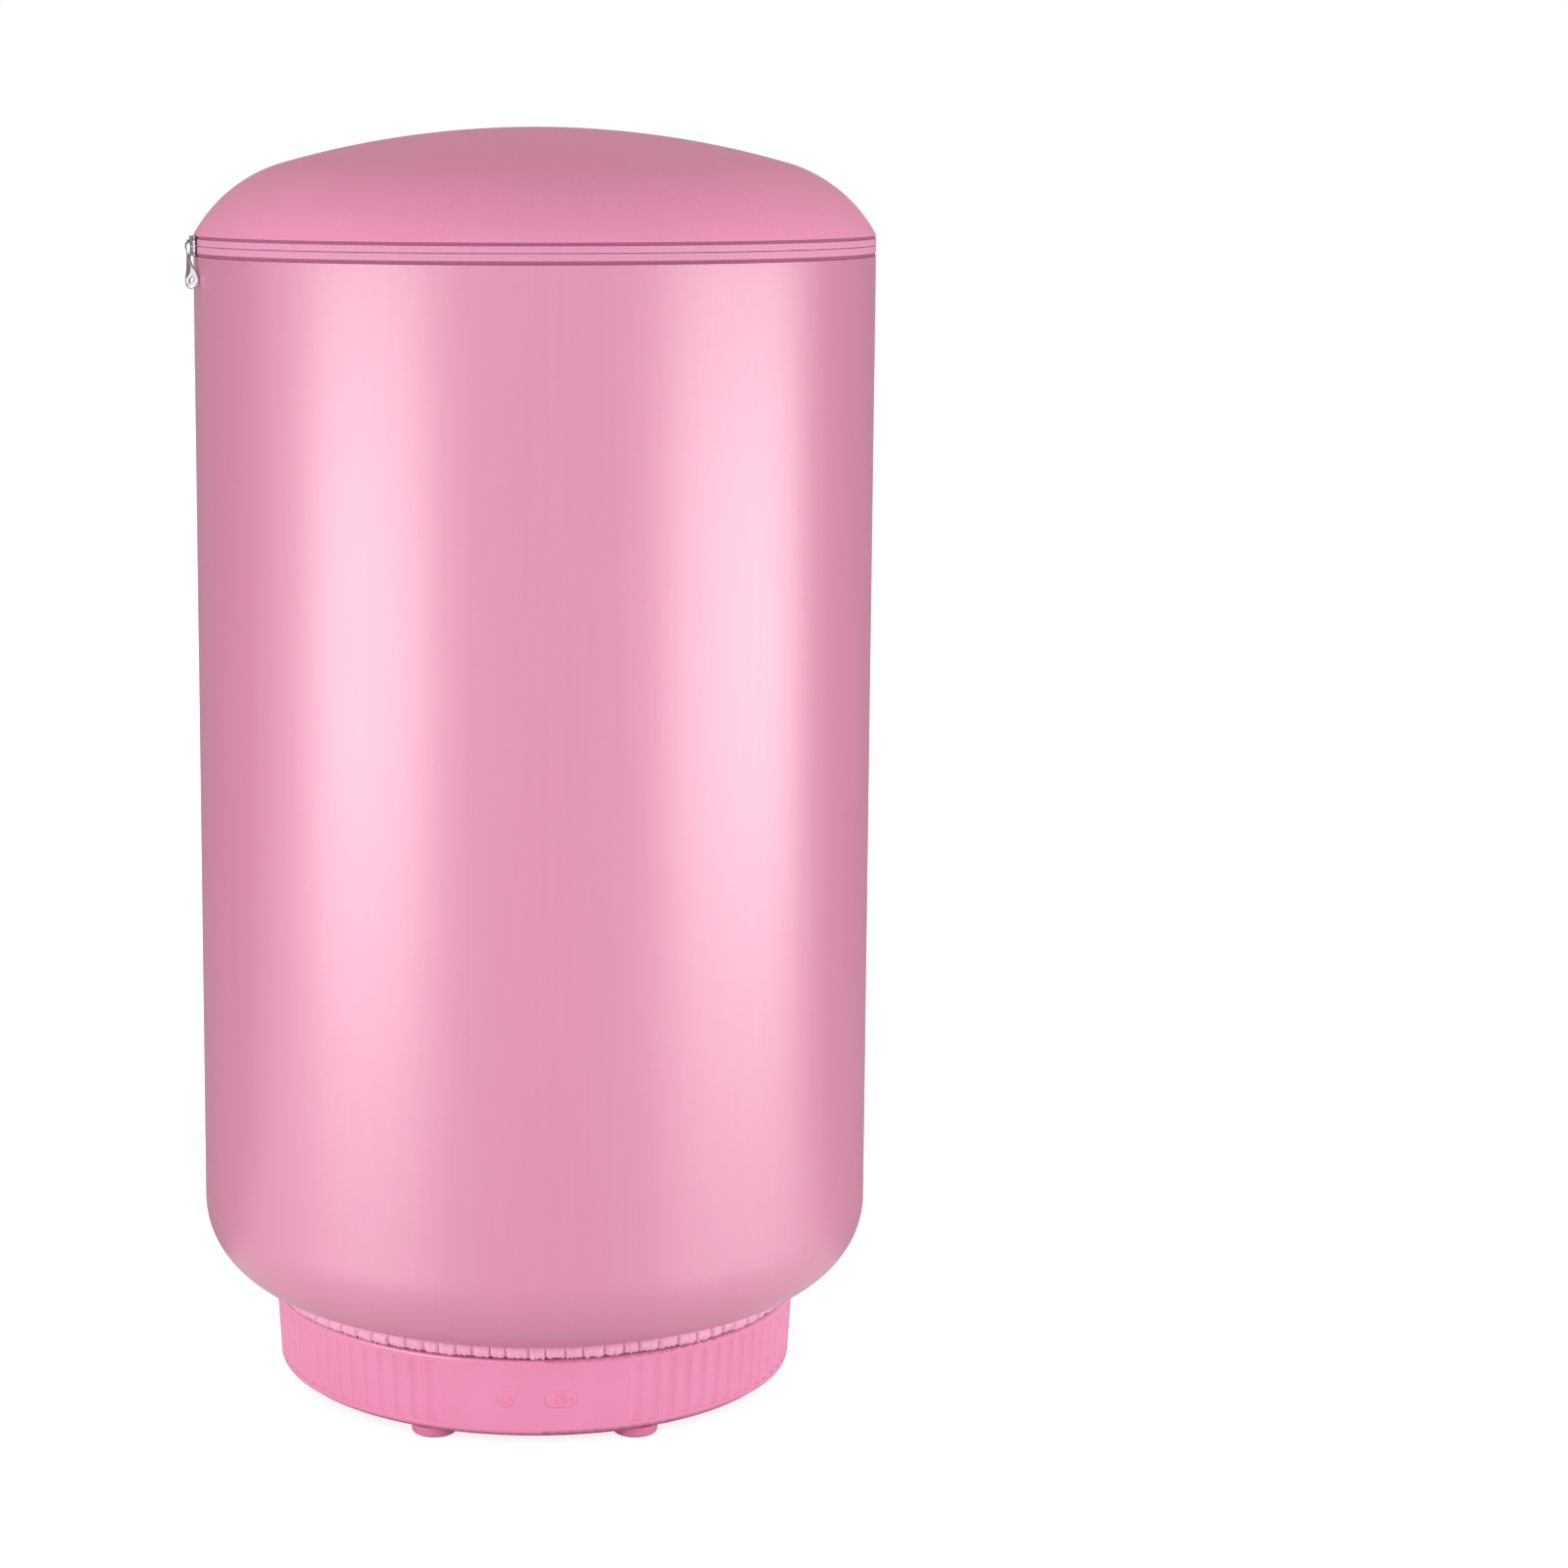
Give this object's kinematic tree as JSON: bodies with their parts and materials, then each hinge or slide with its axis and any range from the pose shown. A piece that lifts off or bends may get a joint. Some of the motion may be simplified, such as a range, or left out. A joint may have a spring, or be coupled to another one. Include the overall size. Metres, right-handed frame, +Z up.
{
  "type": "portable clothes dryer",
  "caption": "Portable warm-air clothes dryer: soft round barrel with a zip-open domed lid on a fluted fan-heater base, with a telescopic pole and folding hanger arms inside.",
  "frame": {"origin": "floor under the barrel's axis, at the bottom of the feet", "axes": "+Z up along the pole, -Y the front with the control panel, +X to the right seen from the front"},
  "size_m": [0.3216, 0.32, 0.5996],
  "materials": {
    "barrel_nylon": "satin-sheen coated nylon",
    "lid_nylon": "satin-sheen coated nylon",
    "frill_nylon": "gathered nylon over elastic",
    "zip_tape": "woven zip tape with nylon coil",
    "base_plastic": "moulded ABS, satin gloss",
    "pan_plastic": "moulded ABS",
    "button_plastic": "moulded ABS",
    "foot_rubber": "soft rubber",
    "hoop_steel": "spring steel wire",
    "pole_steel": "plated steel tube",
    "rack_plastic": "white polypropylene",
    "inner_plastic": "flame-retardant plastic",
    "fan_plastic": "glass-filled nylon",
    "heater_aluminium": "stamped aluminium",
    "board_green": "glass-epoxy board",
    "filter_mesh": "open-cell filter mesh",
    "zinc": "die-cast zinc, bright plated",
    "screw_steel": "zinc-plated steel",
    "pin_brass": "nickel-plated brass",
    "motor_steel": "steel can"
  },
  "bodies": {
    "base": {"housing": "base_plastic", "lower_shell": "pan_plastic", "case_screws": "screw_steel", "fan_frame": "inner_plastic", "fan_motor": "motor_steel", "intake_filter": "filter_mesh", "heater_frame": "inner_plastic", "heater_element": "heater_aluminium", "thermal_cutout": "inner_plastic", "outlet_grille": "rack_plastic", "control_board": "board_green", "inlet_socket": "inner_plastic", "inlet_pins": "pin_brass", "lower_pole": "pole_steel", "lower_bush": "rack_plastic", "barrel_bowl": "barrel_nylon", "barrel_wall": "barrel_nylon", "elastic_hem": "frill_nylon", "bottom_hoop": "hoop_steel", "foot_1": "foot_rubber", "foot_2": "foot_rubber", "foot_3": "foot_rubber", "foot_4": "foot_rubber", "foot_5": "foot_rubber", "foot_6": "foot_rubber"},
    "fan": {"impeller": "fan_plastic", "motor_shaft": "motor_steel"},
    "power_key": {"power_button": "button_plastic"},
    "timer_key": {"timer_button": "button_plastic"},
    "middle_stage": {"middle_pole": "pole_steel", "middle_bush": "rack_plastic"},
    "upper_frame": {"upper_pole": "pole_steel", "arm_hub": "rack_plastic", "arm_pins": "screw_steel", "top_hoop": "hoop_steel", "zip_tape_lower": "zip_tape", "hinge_strip_lower": "barrel_nylon", "zip_stops": "zinc"},
    "lid": {"lid_dome": "lid_nylon", "lid_hoop": "hoop_steel", "zip_tape_upper": "zip_tape", "hinge_strip_upper": "lid_nylon"},
    "slider": {"zip_slider": "zinc"},
    "pull": {"pull_tab": "zinc"},
    "arm_1": {"arm_1": "rack_plastic"},
    "arm_2": {"arm_2": "rack_plastic"},
    "arm_3": {"arm_3": "rack_plastic"},
    "arm_4": {"arm_4": "rack_plastic"},
    "arm_5": {"arm_5": "rack_plastic"},
    "arm_6": {"arm_6": "rack_plastic"}
  },
  "joints": [
    {"name": "barrel_collapse", "type": "slide", "parent": "base", "child": "upper_frame", "axis": [0, 0, 1], "range_m": [-0.27, 0], "deforming": ["barrel_wall"]},
    {"name": "middle_stage_slide", "type": "slide", "parent": "base", "child": "middle_stage", "axis": [0, 0, 1], "range_m": [-0.135, 0]},
    {"name": "lid_hinge", "type": "hinge", "parent": "upper_frame", "child": "lid", "pos_m": [0, 0.1608, 0.545], "axis": [-1, 0, 0], "range_deg": [0, 105]},
    {"name": "zip_slide", "type": "hinge", "parent": "upper_frame", "child": "slider", "pos_m": [0, 0, 0.545], "axis": [0, 0, 1], "range_deg": [-70, 226]},
    {"name": "pull_swing", "type": "hinge", "parent": "slider", "child": "pull", "pos_m": [-0.15944, -0.03389, 0.545], "axis": [-0.9781, -0.2079, 0], "range_deg": [-123, 57]},
    {"name": "power_press", "type": "slide", "parent": "base", "child": "power_key", "axis": [0, 1, 0], "range_m": [0, 0.0015], "stiffness_N_per_m": 600},
    {"name": "timer_press", "type": "slide", "parent": "base", "child": "timer_key", "axis": [0, 1, 0], "range_m": [0, 0.0015], "stiffness_N_per_m": 600},
    {"name": "fan_spin", "type": "hinge", "parent": "base", "child": "fan", "pos_m": [0, 0, 0.03], "axis": [0, 0, 1], "continuous": true},
    {"name": "arm_1_fold", "type": "hinge", "parent": "upper_frame", "child": "arm_1", "pos_m": [0.01559, 0.009, 0.531], "axis": [-0.5, 0.866, 0], "range_deg": [0, 85]},
    {"name": "arm_2_fold", "type": "hinge", "parent": "upper_frame", "child": "arm_2", "pos_m": [0, 0.018, 0.531], "axis": [-1, 0, 0], "range_deg": [0, 85]},
    {"name": "arm_3_fold", "type": "hinge", "parent": "upper_frame", "child": "arm_3", "pos_m": [-0.01559, 0.009, 0.531], "axis": [-0.5, -0.866, 0], "range_deg": [0, 85]},
    {"name": "arm_4_fold", "type": "hinge", "parent": "upper_frame", "child": "arm_4", "pos_m": [-0.01559, -0.009, 0.531], "axis": [0.5, -0.866, 0], "range_deg": [0, 85]},
    {"name": "arm_5_fold", "type": "hinge", "parent": "upper_frame", "child": "arm_5", "pos_m": [0, -0.018, 0.531], "axis": [1, 0, 0], "range_deg": [0, 85]},
    {"name": "arm_6_fold", "type": "hinge", "parent": "upper_frame", "child": "arm_6", "pos_m": [0.01559, -0.009, 0.531], "axis": [0.5, 0.866, 0], "range_deg": [0, 85]}
  ],
  "couplings": [
    {"joint": "middle_stage_slide", "follows": "barrel_collapse", "ratio": 0.5}
  ]
}
